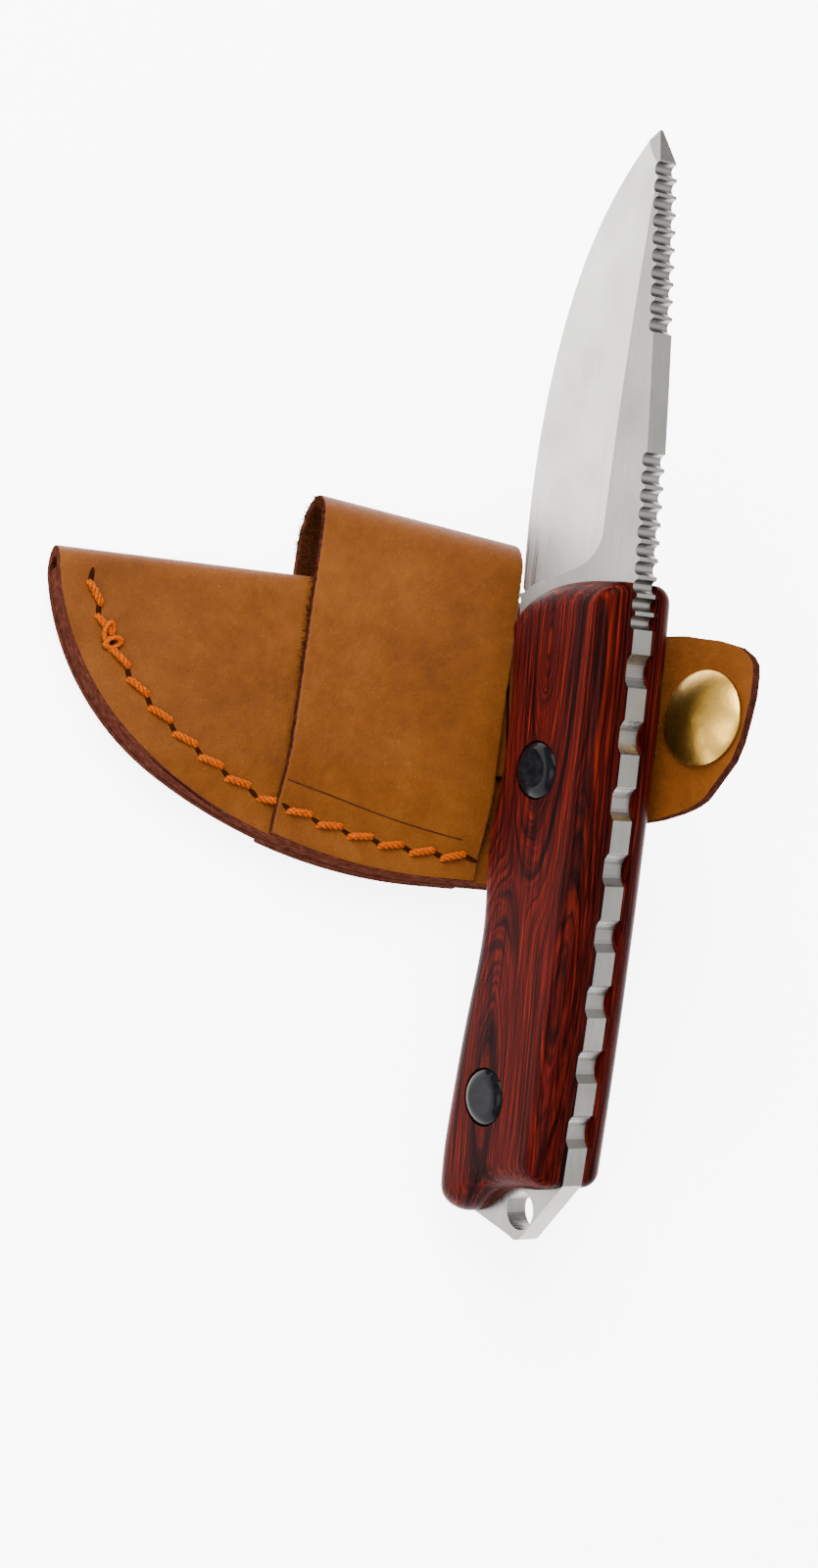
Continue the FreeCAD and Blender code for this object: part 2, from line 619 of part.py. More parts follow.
seam_trim = new_body("loop_trim")
waste = trim_to_seam(seam_trim)
pad(seam_trim, waste, f"6 * {TOP}", symmetric=True)
belt_loop = doc.addObject("Part::Cut", "Cut_belt_loop")
belt_loop.Base = loop
belt_loop.Tool = seam_trim
belt_loop.Label = "belt_loop"
doc.recompute()

# -------------------------------------------------------- sheath: the keeper strap

# The strap is one piece of leather. Its root is sewn flat on the front panel under
# the belt loop; the rest leaves the loop, turns up and lies along the handle.
leather = size("leather")
strap_z = value(TOP) + leather / 2 + 0.1
foot_angle = math.radians(size("strap_lift"))
rise_angle = math.radians(size("strap_slope"))
start = V(size("strap_start"), 0, strap_z)
knee = start + V(math.cos(foot_angle), 0, math.sin(foot_angle)) * size("strap_foot")
rise = V(math.cos(rise_angle), 0, math.sin(rise_angle))
outward = V(-math.sin(rise_angle), 0, math.cos(rise_angle))
strap_end = knee + rise * size("strap_rise")
snap_seat = strap_end - rise * size("snap_back")


def offset_run(across):
    """Line of the strap, moved to one side of its middle."""
    foot_out = V(-math.sin(foot_angle), 0, math.cos(foot_angle))
    half_turn = (rise_angle - foot_angle) / 2
    at_knee = knee + (foot_out + outward).normalize() * (across / math.cos(half_turn))
    return [start + foot_out * across, at_knee, strap_end + outward * across]


low_run = offset_run(-leather / 2)
high_run = offset_run(leather / 2)
strip_face = Part.Face(Part.makePolygon(low_run + high_run[::-1] + low_run[:1]))
half_width = size("strap_width") / 2
strip_face.translate(V(0, size("strap_middle") - half_width, 0))
strap = strip_face.extrude(V(0, 2 * half_width, 0))
across_edges = [edge for edge in strap.Edges if edge.BoundBox.YLength > half_width]


def edges_at(edges, point):
    return [edge for edge in edges if math.hypot(edge.BoundBox.XMin - point.x, edge.BoundBox.ZMin - point.z) < 0.01]


strap = strap.makeFillet(size("strap_bend") + leather, edges_at(across_edges, low_run[1]))
inside = [edge for edge in strap.Edges if edge.BoundBox.YLength > half_width]
strap = strap.makeFillet(size("strap_bend"), edges_at(inside, high_run[1]))

# the end is cut askew with round corners; its corners are (back from the end, across)
high_side, low_side = (-20, half_width), (-18, -half_width)
high_corner, nose, low_corner = (-2.5, 0.68 * half_width), (0, 0.38 * half_width), (-3.2, -0.3 * half_width)
high_bulge, nose_bulge, low_bulge = (-9.6, 0.88 * half_width), (-0.6, 0.58 * half_width), (-8.6, -0.76 * half_width)
outside_high, outside_low = (5, half_width + 1), (5, -half_width - 1)


def flat(place):
    return V(place[0], place[1], -leather)


waste = Part.Face(Part.Wire([
    Part.Arc(flat(high_side), flat(high_bulge), flat(high_corner)).toShape(),
    Part.Arc(flat(high_corner), flat(nose_bulge), flat(nose)).toShape(),
    Part.LineSegment(flat(nose), flat(low_corner)).toShape(),
    Part.Arc(flat(low_corner), flat(low_bulge), flat(low_side)).toShape(),
    Part.LineSegment(flat(low_side), flat((-18, -half_width - 1))).toShape(),
    Part.LineSegment(flat((-18, -half_width - 1)), flat(outside_low)).toShape(),
    Part.LineSegment(flat(outside_low), flat(outside_high)).toShape(),
    Part.LineSegment(flat(outside_high), flat((-20, half_width + 1))).toShape(),
    Part.LineSegment(flat((-20, half_width + 1)), flat(high_side)).toShape()])).extrude(V(0, 0, 2 * leather))
waste.Placement = FreeCAD.Placement(strap_end + V(0, size("strap_middle"), 0), FreeCAD.Rotation(rise, V(0, 1, 0), outward))
strap = strap.cut(waste)
snap_pose = FreeCAD.Placement(
    snap_seat + V(0, size("strap_middle"), 0) + outward * (leather / 2), FreeCAD.Rotation(V(0, 0, 1), outward))
post = Part.makeCylinder(size("snap_post_diameter") / 2, 4 * leather, V(0, 0, -3 * leather))
post.Placement = snap_pose
new_part("keeper_strap", strap.cut(post))

tail = Part.makeBox(size("tail_length"), size("tail_width"), leather)
tail.translate(V(start.x - 0.4 - size("tail_length"), size("tail_middle") - size("tail_width") / 2, value(TOP) + 0.1))
new_part("strap_root", tail)

# ---------------------------------------------------------------- sheath: the snap

CAP = "Dims.snap_diameter / 2"
POST = "Dims.snap_post_diameter / 2"
DOME = "(Dims.snap_crown - 0.9)"
cap = new_body("snap_cap")
profile = new_sketch(cap, "profile", "XZ_Plane")
draw_outline(profile, [
    ("0", f"-{T} - 1.2"), (POST, f"-{T} - 1.2"), (POST, "0"), (f"{CAP} - 0.5", "0"), (CAP, "0.5"),
    (CAP, "0.9", f"({CAP} * {CAP} + {DOME} * {DOME}) / (2 * {DOME})", -1),
    ("0", "Dims.snap_crown")])
turn(cap, profile)
cap.Placement = snap_pose

SOCKET = "Dims.snap_socket_diameter / 2"
SOCKET_DEEP = f"(-{T} - Dims.snap_socket_height)"
snap_socket = new_body("snap_socket")
profile = new_sketch(snap_socket, "profile", "XZ_Plane")
draw_outline(profile, [
    (POST, f"-{T}"), (POST, f"-{T} - 1.2"), ("Dims.stud_diameter / 2 + 0.1", f"-{T} - 1.2"),
    ("Dims.stud_diameter / 2 + 0.1", SOCKET_DEEP), (f"{SOCKET} - 0.6", SOCKET_DEEP), (SOCKET, f"{SOCKET_DEEP} + 0.6"),
    (SOCKET, f"-{T} - 0.4"), (f"{SOCKET} - 0.4", f"-{T}")])
turn(snap_socket, profile)
snap_socket.Placement = snap_pose

# the mating stud: its own Z axis points down, out of the back panel
stud_pose = FreeCAD.Placement(
    V(size("stud_place"), size("strap_middle"), value(BASE)), FreeCAD.Rotation(V(1, 0, 0), 180))
STUD = "Dims.stud_diameter / 2"
snap_stud = new_body("snap_stud")
profile = new_sketch(snap_stud, "profile", "XZ_Plane")
draw_outline(profile, [
    (POST, "0"), (f"{STUD} + 1.2", "0"), (f"{STUD} + 1.2", "0.5"), (f"{STUD} - 0.5", "0.5"),
    (STUD, "0.7 * Dims.stud_height"), (f"{STUD} - 0.4", "Dims.stud_height"), (POST, "Dims.stud_height")])
turn(snap_stud, profile)
snap_stud.Placement = stud_pose

snap_post = new_body("snap_post")
profile = new_sketch(snap_post, "profile", "XZ_Plane")
draw_outline(profile, [
    ("0", f"-{T} - 0.5"), (f"{STUD} + 1.4", f"-{T} - 0.5"), (f"{STUD} + 1.4", f"-{T}"), (POST, f"-{T}"),
    (POST, "Dims.stud_height"), ("0", "Dims.stud_height")])
turn(snap_post, profile)
snap_post.Placement = stud_pose

# ------------------------------------------------------------- sheath: the stitches

thread_r = size("thread_diameter") / 2
seam_a = size("pocket_left") + size("seam_low_place") + 6 - size("stitch_tip_inset")
seam_b = size("fold_place") + size("seam_low") - size("stitch_inset")
seam_centre = V(size("seam_low_place") + 6, size("fold_place"), 0)


def seam_point(angle):
    """Point of the stitch line, a quarter of an ellipse; the angle runs from the tip to the bottom."""
    return seam_centre + V(-seam_a * math.cos(angle), -seam_b * math.sin(angle), 0)


def seam_marks(step, last_x):
    """Angles of the stitch holes, one step of arc apart, up to a place along the sheath."""
    angle = math.asin(6.2 / seam_b)
    marks = [angle]
    while seam_point(angle).x < last_x:
        speed = math.hypot(seam_a * math.sin(angle), seam_b * math.cos(angle))
        angle += step / speed
        marks.append(angle)
    return marks


def front_height(point):
    """Top of the leather under a stitch: the front panel, or the belt loop over it."""
    slope_low, slope_high = value(SLOPE_LOW), value(SLOPE_HIGH)
    share = min(max((point.y - slope_low) / (slope_high - slope_low), 0), 1)
    panel = value(SEAM_TOP) + share * (value(TOP) - value(SEAM_TOP))
    turned = FreeCAD.Rotation(V(0, 0, 1), size("loop_turn")).multVec(point - V(size("loop_place"), 0, 0))
    if abs(turned.x) > size("loop_width") / 2 + 1.5:
        return panel
    foot, head = value(RAMP_LOW) - 0.6, value(RAMP_HIGH)
    climb = min(max((turned.y - foot) / (head - foot), 0), 1)
    return value(SEAM_TOP) + leather + climb * (value(FRONT_UNDER) - value(SEAM_TOP))


def stitch(first, second, lift):
    """One stitch: a short round length of thread lying on the leather."""
    along = second - first
    begin = V(first.x, first.y, lift)
    return Part.makeCylinder(thread_r, size("stitch_length"), begin, V(along.x, along.y, 0))


marks = [seam_point(angle) for angle in seam_marks(size("stitch_pitch"), 27)]
front_stitches = [stitch(a, b, max(front_height(a), front_height(b)) + thread_r + 0.02)
                  for a, b in zip(marks, marks[1:])]
new_part("seam_thread_front", Part.makeCompound(front_stitches))
loop_left = size("loop_place") - size("loop_width") / 2 - 5
back_stitches = [stitch(a, b, value(BASE) - thread_r - 0.02) for a, b in zip(marks, marks[1:]) if b.x < loop_left]
new_part("seam_thread_back", Part.makeCompound(back_stitches))

# ------------------------------------------------------------------ check and write

doc.recompute()
NODES = [
    "blade", "left_scale", "right_scale", "front_bolt_sleeve", "front_bolt_screw", "rear_bolt_sleeve",
    "rear_bolt_screw", "pocket", "welt", "belt_loop", "strap_root", "keeper_strap", "snap_cap", "snap_socket",
    "snap_stud", "snap_post", "seam_thread_front", "seam_thread_back"]
for item in doc.Objects:
    if {"Invalid", "Error"} & set(item.State):
        raise RuntimeError(f"{item.Label} failed to build: {item.State}")
os.makedirs("parts", exist_ok=True)
for node in NODES:
    found = doc.getObjectsByLabel(node)
    if len(found) != 1:
        raise RuntimeError(f"{len(found)} objects are labelled {node}")
    shape = found[0].Shape
    if shape.isNull() or not shape.isValid():
        raise RuntimeError(node + " has no valid shape")
    shape.exportStep(f"parts/{node}.step")
    box = shape.BoundBox
    print(f"{node}: {len(shape.Solids)} solid(s), {shape.Volume:.0f} mm3, "
          f"x {box.XMin:.1f}..{box.XMax:.1f} y {box.YMin:.1f}..{box.YMax:.1f} z {box.ZMin:.1f}..{box.ZMax:.1f}")
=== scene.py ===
import math
import random

import bpy
from mathutils import Euler, Matrix, Vector, noise


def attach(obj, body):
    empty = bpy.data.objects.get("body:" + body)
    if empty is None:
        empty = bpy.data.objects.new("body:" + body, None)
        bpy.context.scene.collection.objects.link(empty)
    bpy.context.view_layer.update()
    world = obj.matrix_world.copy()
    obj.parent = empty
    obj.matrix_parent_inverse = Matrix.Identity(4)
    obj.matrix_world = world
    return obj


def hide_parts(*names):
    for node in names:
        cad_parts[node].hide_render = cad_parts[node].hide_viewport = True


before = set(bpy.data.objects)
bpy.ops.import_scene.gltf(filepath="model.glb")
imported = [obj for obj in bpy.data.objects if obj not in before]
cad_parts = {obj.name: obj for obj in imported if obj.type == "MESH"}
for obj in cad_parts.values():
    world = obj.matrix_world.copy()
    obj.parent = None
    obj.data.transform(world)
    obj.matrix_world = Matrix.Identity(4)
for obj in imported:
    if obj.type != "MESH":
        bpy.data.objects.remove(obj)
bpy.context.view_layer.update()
bpy.ops.object.select_all(action="DESELECT")

# ---------------------------------------------------------------- table, lights, camera
# A white table in a light tent: one large softbox overhead on the knife tip's side, a
# weaker one towards the sheath, and a pale surround that the steel can reflect.

TABLE_SIDE = 6
LIT_PLACE = Vector((0.02, 0, 0.02))
SOFTBOXES = [
    # name, place, size, watts
    ("overhead_softbox", (-0.25, 0.55, 0.95), 0.7, 36),
    ("sheath_softbox", (-0.9, -0.35, 0.8), 0.6, 14),
]
CAMERA_PLACE = (-0.1981, -0.1289, 0.5422)
CAMERA_TURN = (math.radians(11.22), math.radians(-22.34), math.radians(1.10))


def new_finish(name, constants):
    """Material with its shader's constants set: gives it, its shader and its node tree."""
    finish = bpy.data.materials.new(name)
    finish.use_nodes = True
    shader = finish.node_tree.nodes["Principled BSDF"]
    for socket, value in constants.items():
        shader.inputs[socket].default_value = value
    return finish, shader, finish.node_tree


bpy.ops.mesh.primitive_plane_add(size=TABLE_SIDE, location=(0, 0, 0))
table = bpy.context.object
table.name = "table"
table_white, shader, tree = new_finish("table_white", {
    "Base Color": (0.95, 0.95, 0.96, 1), "Roughness": 0.7, "Specular IOR Level": 0.1,
    "Emission Color": (1, 1, 1, 1), "Emission Strength": 5.6})
table.data.materials.append(table_white)

surround = bpy.data.worlds.new("light_tent")
surround.use_nodes = True
surround.node_tree.nodes["Background"].inputs["Color"].default_value = (1, 1, 1, 1)
surround.node_tree.nodes["Background"].inputs["Strength"].default_value = 1.5
bpy.context.scene.world = surround

for name, place, width, watts in SOFTBOXES:
    bpy.ops.object.light_add(type="AREA", location=place)
    softbox = bpy.context.object
    softbox.name = name
    softbox.data.size = width
    softbox.data.energy = watts
    softbox.rotation_euler = (LIT_PLACE - Vector(place)).to_track_quat("-Z", "Y").to_euler()

bpy.ops.object.camera_add(location=CAMERA_PLACE, rotation=CAMERA_TURN)
camera = bpy.context.object
camera.name = "camera"
camera.data.lens = 72
camera.data.sensor_width = 36
camera.data.clip_start = 0.01
bpy.context.scene.camera = camera

# ---------------------------------------------------------------- knife: blade
# Full-tang blade of satin steel, 4.5 mm thick: fine grinding lines run along it, and the
# jimping and thumb scallops are milled into the spine. Its colour follows the way each face
# turns, as painted light and shade: darker flats, lighter ground bevels, painted shade in
# the scallops and a painted highlight on the spine's lands.

# the knife's seat in the shared frame, and the way its spine faces
KNIFE_PLACE = (0.0382, -0.0121, 0.0395)
KNIFE_TURN = (math.radians(17.2), math.radians(-14.0), math.radians(90.9))
SPINE_WAY = Euler(KNIFE_TURN).to_matrix() @ Vector((0, 0, 1))
BLADE_CRISP, WELD = 3, 0.000002


def add_node(tree, kind, feeds, **settings):
    """A shader node: feeds are numbers, or outputs of other nodes, by socket."""
    node = tree.nodes.new("ShaderNode" + kind)
    for setting, value in settings.items():
        setattr(node, setting, value)
    for socket, value in feeds.items():
        if isinstance(value, bpy.types.NodeSocket):
            tree.links.new(value, node.inputs[socket])
        else:
            node.inputs[socket].default_value = value
    return node


def own_place(tree, output="Object"):
    """The piece's own coordinates, or its normal."""
    return add_node(tree, "TexCoord", {}).outputs[output]


def along_knife(tree, stretch, centre=(0, 0, 0)):
    """Pattern coordinates of the knife: x to the tip, y across, z to the spine."""
    seat = add_node(tree, "Mapping", {
        "Vector": own_place(tree), "Location": KNIFE_PLACE, "Rotation": KNIFE_TURN}, vector_type="TEXTURE")
    pull = add_node(tree, "Mapping", {
        "Vector": seat.outputs["Vector"], "Scale": stretch, "Location": centre})
    return pull.outputs["Vector"]


def speckle(tree, vector, scale=1.0, detail=4, rough=0.55):
    """Noise read at the given coordinates."""
    return add_node(tree, "TexNoise", {
        "Vector": vector, "Scale": scale, "Detail": detail, "Roughness": rough}).outputs["Fac"]


def shades(tree, value, stops):
    """Colours laid along a value; stops are (place, colour)."""
    ramp = add_node(tree, "ValToRGB", {"Fac": value})
    while len(ramp.color_ramp.elements) < len(stops):
        ramp.color_ramp.elements.new(0.5)
    for element, (place, colour) in zip(ramp.color_ramp.elements, stops):
        element.position = place
        element.color = (*colour, 1)
    return ramp.outputs["Color"]


def stained(tree, base, stain):
    """One colour multiplied by another."""
    return add_node(tree, "Mix", {"Factor": 1.0, "A": base, "B": stain},
                    data_type="RGBA", blend_type="MULTIPLY").outputs["Result"]


def spread(tree, value, low, high):
    """Noise value spread over a range, for roughness."""
    return add_node(tree, "MapRange", {
        "Value": value, "From Min": 0.3, "From Max": 0.7, "To Min": low, "To Max": high}).outputs["Result"]


def relief(tree, value, depth, under=None):
    """Bump of a real depth in metres, laid over another one."""
    feeds = {"Height": value, "Distance": depth, "Strength": 1.0}
    if under is not None:
        feeds["Normal"] = under
    return add_node(tree, "Bump", feeds).outputs["Normal"]


def feed(tree, shader, colour, roughness=None, normal=None):
    """Gives the shader its colour, and its roughness and relief where they vary."""
    for socket, value in (("Base Color", colour), ("Roughness", roughness), ("Normal", normal)):
        if value is not None:
            tree.links.new(value, shader.inputs[socket])


steel, shader, tree = new_finish("satin_steel", {"Metallic": 1.0})
lines = speckle(tree, along_knife(tree, (30, 900, 2600)), detail=3)
cloud = speckle(tree, along_knife(tree, (60, 60, 60)), detail=5)
facing = add_node(tree, "VectorMath", {0: own_place(tree, "Normal"), 1: SPINE_WAY}, operation="DOT_PRODUCT")
slant = add_node(tree, "Math", {0: facing.outputs["Value"]}, operation="ABSOLUTE")
metal = shades(tree, slant.outputs[0], [
    # how squarely a face looks to the spine, as painted light and shade: dark flats, light bevels, shaded
    # scallops, highlit spine
    (0.020, (0.098, 0.094, 0.089)), (0.050, (0.205, 0.200, 0.194)), (0.200, (0.205, 0.200, 0.194)),
    (0.400, (0.150, 0.146, 0.140)), (0.930, (0.130, 0.125, 0.118)), (0.985, (0.270, 0.262, 0.250))])
haze = shades(tree, cloud, [(0.3, (0.78, 0.77, 0.75)), (0.7, (1.18, 1.17, 1.15))])
feed(tree, shader, stained(tree, metal, haze),
     roughness=spread(tree, lines, 0.24, 0.40), normal=relief(tree, lines, 0.00002))


def select_only(piece):
    """Selects one piece and makes it the active one."""
    bpy.ops.object.select_all(action="DESELECT")
    bpy.context.view_layer.objects.active = piece
    piece.select_set(True)


def stand_for(piece, body, node):
    """Seats a finished piece on its body, in place of its CAD node."""
    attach(piece, body)
    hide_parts(node)


def dress(node, body, name, finish, crisp):
    """A welded copy of a machined node: edges sharper than crisp degrees stay sharp."""
    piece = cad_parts[node].copy()
    piece.data = piece.data.copy()
    piece.name = name
    bpy.context.collection.objects.link(piece)
    select_only(piece)
    bpy.ops.object.mode_set(mode="EDIT")
    bpy.ops.mesh.select_all(action="SELECT")
    bpy.ops.mesh.remove_doubles(threshold=WELD)
    bpy.ops.object.mode_set(mode="OBJECT")
    if piece.data.has_custom_normals:
        bpy.ops.mesh.customdata_custom_splitnormals_clear()
    bpy.ops.object.shade_smooth_by_angle(angle=math.radians(crisp))
    piece.data.materials.clear()
    piece.data.materials.append(finish)
    stand_for(piece, body, node)


dress("blade", "knife", "ground_blade", steel, BLADE_CRISP)

# ---------------------------------------------------------------- knife: scales
# Two scales of red and black veneers pressed together with resin, cut so that the thin
# layers lie along the handle and make loops where the flat face runs through them.

SCALE_CRISP = 35
RING_STRETCH = (200, 0, 1000)
RING_CENTRES = ((-4.6, 0.0, -0.5), (11.98, 0.0, 5.7))
RING_BLEND, RING_GAP, SWAY_PUSH = 3.0, 0.62, 3.6

wood, shader, tree = new_finish("laminated_wood", {"Specular IOR Level": 0.01})
sway = speckle(tree, along_knife(tree, (12, 30, 60)), detail=3, rough=0.5)
rings = [add_node(tree, "VectorMath", {0: along_knife(tree, RING_STRETCH, centre)}, operation="LENGTH")
         for centre in RING_CENTRES]
loops = add_node(tree, "Math", {
    0: rings[0].outputs["Value"], 1: rings[1].outputs["Value"], 2: RING_BLEND}, operation="SMOOTH_MIN")
gap = add_node(tree, "Math", {0: loops.outputs[0], 1: RING_GAP}, operation="MULTIPLY")
push = add_node(tree, "Math", {0: sway, 1: SWAY_PUSH, 2: gap.outputs[0]}, operation="MULTIPLY_ADD")
lean = add_node(tree, "CombineXYZ", {"Y": push.outputs[0]})
veneer_place = add_node(tree, "VectorMath", {
    0: along_knife(tree, (5, 900, 40)), 1: lean.outputs["Vector"]}, operation="ADD")
veneers = speckle(tree, veneer_place.outputs["Vector"], detail=3, rough=0.6)
fibres = speckle(tree, along_knife(tree, (45, 2400, 2400)), detail=3, rough=0.6)
layer = shades(tree, veneers, [
    (0.30, (0.0026, 0.0006, 0.0006)), (0.40, (0.0085, 0.0012, 0.0010)), (0.47, (0.0360, 0.0025, 0.0016)),
    (0.54, (0.0065, 0.0011, 0.0010)), (0.60, (0.0520, 0.0038, 0.0018)), (0.72, (0.0205, 0.0018, 0.0011))])
streak = shades(tree, fibres, [
    (0.36, (0.30, 0.25, 0.25)), (0.55, (1.0, 1.0, 1.0)), (0.72, (2.4, 2.0, 1.5))])
feed(tree, shader, stained(tree, layer, streak),
     roughness=spread(tree, fibres, 0.30, 0.42), normal=relief(tree, fibres, 0.00003))
for node in ("left_scale", "right_scale"):
    dress(node, "knife", node + "_wood", wood, SCALE_CRISP)

# ---------------------------------------------------------------- knife: bolts
# Headed barrels and screws of steel, blacked and polished. They go through the scales
# and the tang, and their heads are sunk in counterbores.

BOLT_CRISP = 32

black, shader, tree = new_finish("blacked_steel", {"Specular IOR Level": 0.035})
wear = speckle(tree, along_knife(tree, (900, 900, 900)), detail=5)
feed(tree, shader, shades(tree, wear, [(0.4, (0.0016, 0.0016, 0.002)), (0.75, (0.004, 0.004, 0.005))]),
     roughness=spread(tree, wear, 0.12, 0.22))
for node in ("front_bolt_sleeve", "front_bolt_screw", "rear_bolt_sleeve", "rear_bolt_screw"):
    dress(node, "knife", node + "_black", black, BOLT_CRISP)

# ---------------------------------------------------------------- sheath: pocket
# One piece of 2 mm waxed leather folded over the spine. The grain side is out; the
# cut edges are dyed and burnished, and the inside is the bare flesh side.

LEATHER = 0.002
MOUTH_X = 0.048
FOLD_Y, SEAM_LOW_Y = 0.028, -0.028
TIP_CENTRE, TIP_RADIUS = Vector((-0.003, 0.028)), 0.048
LOW_CENTRE, LOW_RADIUS = Vector((0.024, 0.0696)), 0.0976
TIP_SWEEP, LOW_SWEEP = math.radians(57.0), math.radians(33.0)
BACK_Z, FRONT_Z, SEAM_Z = 0.002, 0.0106, 0.0086
FOLD_RADIUS = (FRONT_Z - BACK_Z) / 2
SLOPE_Y = (-0.020, -0.008)
FIRST_RUN = TIP_SWEEP * TIP_RADIUS
SECOND_RUN = FIRST_RUN + LOW_SWEEP * LOW_RADIUS
SEAM_RUN = SECOND_RUN + MOUTH_X - LOW_CENTRE.x
CORNER_RUN = 0.022
FOLD_IN_Y = FOLD_Y - FOLD_RADIUS
FOLD_RUN = math.asin(FOLD_RADIUS / TIP_RADIUS) * TIP_RADIUS
PANEL_SHARE = 0.46
POCKET_WAVE, WAVES, WAVE_SLICE = 0.00022, 45, 3.7
EASE_WIDTH, EASE_ANGLE, LEATHER_CRISP = 0.0003, math.radians(60), math.radians(50)


def seam(run, inset=0.0):
    """Point of the cut edge, so far along it from the fold's end at the tip."""
    if run < FIRST_RUN:
        turn = math.pi + run / TIP_RADIUS
        return TIP_CENTRE + Vector((math.cos(turn), math.sin(turn))) * (TIP_RADIUS - inset)
    if run < SECOND_RUN:
        turn = math.pi + TIP_SWEEP + (run - FIRST_RUN) / LOW_RADIUS
        return LOW_CENTRE + Vector((math.cos(turn), math.sin(turn))) * (LOW_RADIUS - inset)
    return Vector((LOW_CENTRE.x + run - SECOND_RUN, SEAM_LOW_Y + inset))


def eased_share(value, low, high):
    """Share of the way from low to high, eased at both ends."""
    share = min(max((value - low) / (high - low), 0), 1)
    return share * share * (3 - 2 * share)


def front_height(y):
    """Top of the front panel: flat over the blade, down to the thin seam."""
    return SEAM_Z + (FRONT_Z - SEAM_Z) * eased_share(y, *SLOPE_Y)


def panel_place(u, t):
    """Place on a flat panel: u from the tip to the mouth, t from the seam to the fold."""
    low = seam(CORNER_RUN + (SEAM_RUN - CORNER_RUN) * u)
    left = seam(CORNER_RUN + (FOLD_RUN - CORNER_RUN) * t)
    corner, top = seam(CORNER_RUN), seam(FOLD_RUN)
    high = Vector((top.x + (MOUTH_X - top.x) * u, FOLD_IN_Y))
    right = Vector((MOUTH_X, SEAM_LOW_Y + (FOLD_IN_Y - SEAM_LOW_Y) * t))
    flat = (corner * (1 - u) * (1 - t) + top * (1 - u) * t + Vector((MOUTH_X, SEAM_LOW_Y)) * u * (1 - t)
            + Vector((MOUTH_X, FOLD_IN_Y)) * u * t)
    return low * (1 - t) + high * t + left * (1 - u) + right * u - flat


def leather_wave(x, y, depth):
    """Slow rise and fall of hand-worked leather."""
    return depth * noise.noise(Vector((x * WAVES, y * WAVES, WAVE_SLICE)))


def cut_leather(name, columns, rows):
    """A flat sheet, one unit square, divided so that it can be laid in its shape."""
    bpy.ops.object.select_all(action="DESELECT")
    bpy.ops.mesh.primitive_grid_add(
        x_subdivisions=columns, y_subdivisions=rows, size=1, location=(0.5, 0.5, 0))
    sheet = bpy.context.object
    sheet.name = name
    bpy.ops.object.transform_apply()
    return sheet


pocket = cut_leather("pocket_leather", columns=130, rows=124)
for point in pocket.data.vertices:
    u, v = point.co.x, point.co.y
    if v <= PANEL_SHARE:
        place = panel_place(u, v / PANEL_SHARE)
        rise = leather_wave(place.x, place.y, POCKET_WAVE)
        point.co = (place.x, place.y, front_height(place.y) + rise)
    elif v < 1 - PANEL_SHARE:
        share = (v - PANEL_SHARE) / (1 - 2 * PANEL_SHARE)
        turn = math.pi / 2 - math.pi * share
        start = panel_place(u, 1)
        rise = leather_wave(start.x, FOLD_IN_Y, POCKET_WAVE) * (1 - share)
        height = BACK_Z + FOLD_RADIUS * (1 + math.sin(turn)) + rise
        point.co = (start.x, FOLD_IN_Y + FOLD_RADIUS * math.cos(turn), height)
    else:
        place = panel_place(u, (1 - v) / PANEL_SHARE)
        point.co = (place.x, place.y, BACK_Z)

tan_leather, shader, tree = new_finish("tan_leather", {"Specular IOR Level": 0.04})
place = own_place(tree)
cloud = speckle(tree, place, scale=55, detail=7, rough=0.62)
mottle = speckle(tree, place, scale=420, detail=5, rough=0.7)
blend = add_node(tree, "Mix", {"Factor": 0.32, "A": cloud, "B": mottle})
hide = shades(tree, blend.outputs["Result"], [
    (0.30, (0.055, 0.0150, 0.0020)), (0.50, (0.082, 0.0235, 0.0032)), (0.72, (0.112, 0.0360, 0.0054))])
rubbed = speckle(tree, place, scale=1500, rough=0.75)
scuff = shades(tree, rubbed, [(0.60, (1, 1, 1)), (0.70, (1.5, 1.6, 2.0))])
pores = add_node(tree, "TexVoronoi", {"Vector": place, "Scale": 2300})
creases = speckle(tree, place, scale=900, detail=6, rough=0.7)
pored = relief(tree, pores.outputs["Distance"], 0.00005)
creased = relief(tree, creases, 0.00012, under=pored)
feed(tree, shader, stained(tree, hide, scuff),
     roughness=spread(tree, mottle, 0.44, 0.62), normal=relief(tree, cloud, 0.0004, under=creased))

flesh, shader, tree = new_finish("flesh_side", {"Roughness": 0.95, "Specular IOR Level": 0.0})
nap = speckle(tree, own_place(tree), scale=1500, detail=8, rough=0.8)
feed(tree, shader, shades(tree, nap, [(0.35, (0.008, 0.0025, 0.001)), (0.65, (0.05, 0.015, 0.005))]),
     normal=relief(tree, nap, 0.0006))

edge, shader, tree = new_finish("burnished_edge", {"Roughness": 0.6, "Specular IOR Level": 0.0})
rub = speckle(tree, own_place(tree), scale=700, detail=6, rough=0.7)
dye = shades(tree, rub, [
    (0.32, (0.014, 0.0034, 0.0022)), (0.52, (0.028, 0.0078, 0.0050)), (0.72, (0.050, 0.016, 0.0100))])
feed(tree, shader, dye, normal=relief(tree, rub, 0.00015))


def finish_leather(piece, body, node):
    """Gives a leather sheet its thickness, eased edges and finishes, and seats it."""
    select_only(piece)
    for finish in (tan_leather, flesh, edge):
        piece.data.materials.append(finish)
    wall = piece.modifiers.new("thickness", "SOLIDIFY")
    wall.thickness = LEATHER
    wall.offset = -1
    wall.use_even_offset = True
    wall.material_offset = 1
    wall.material_offset_rim = 2
    bpy.ops.object.modifier_apply(modifier=wall.name)
    ease = piece.modifiers.new("eased_edge", "BEVEL")
    ease.width = EASE_WIDTH
    ease.segments = 2
    ease.limit_method = "ANGLE"
    ease.angle_limit = EASE_ANGLE
    bpy.ops.object.modifier_apply(modifier=ease.name)
    bpy.ops.object.shade_smooth_by_angle(angle=LEATHER_CRISP)
    stand_for(piece, body, node)


finish_leather(pocket, "sheath", "pocket")

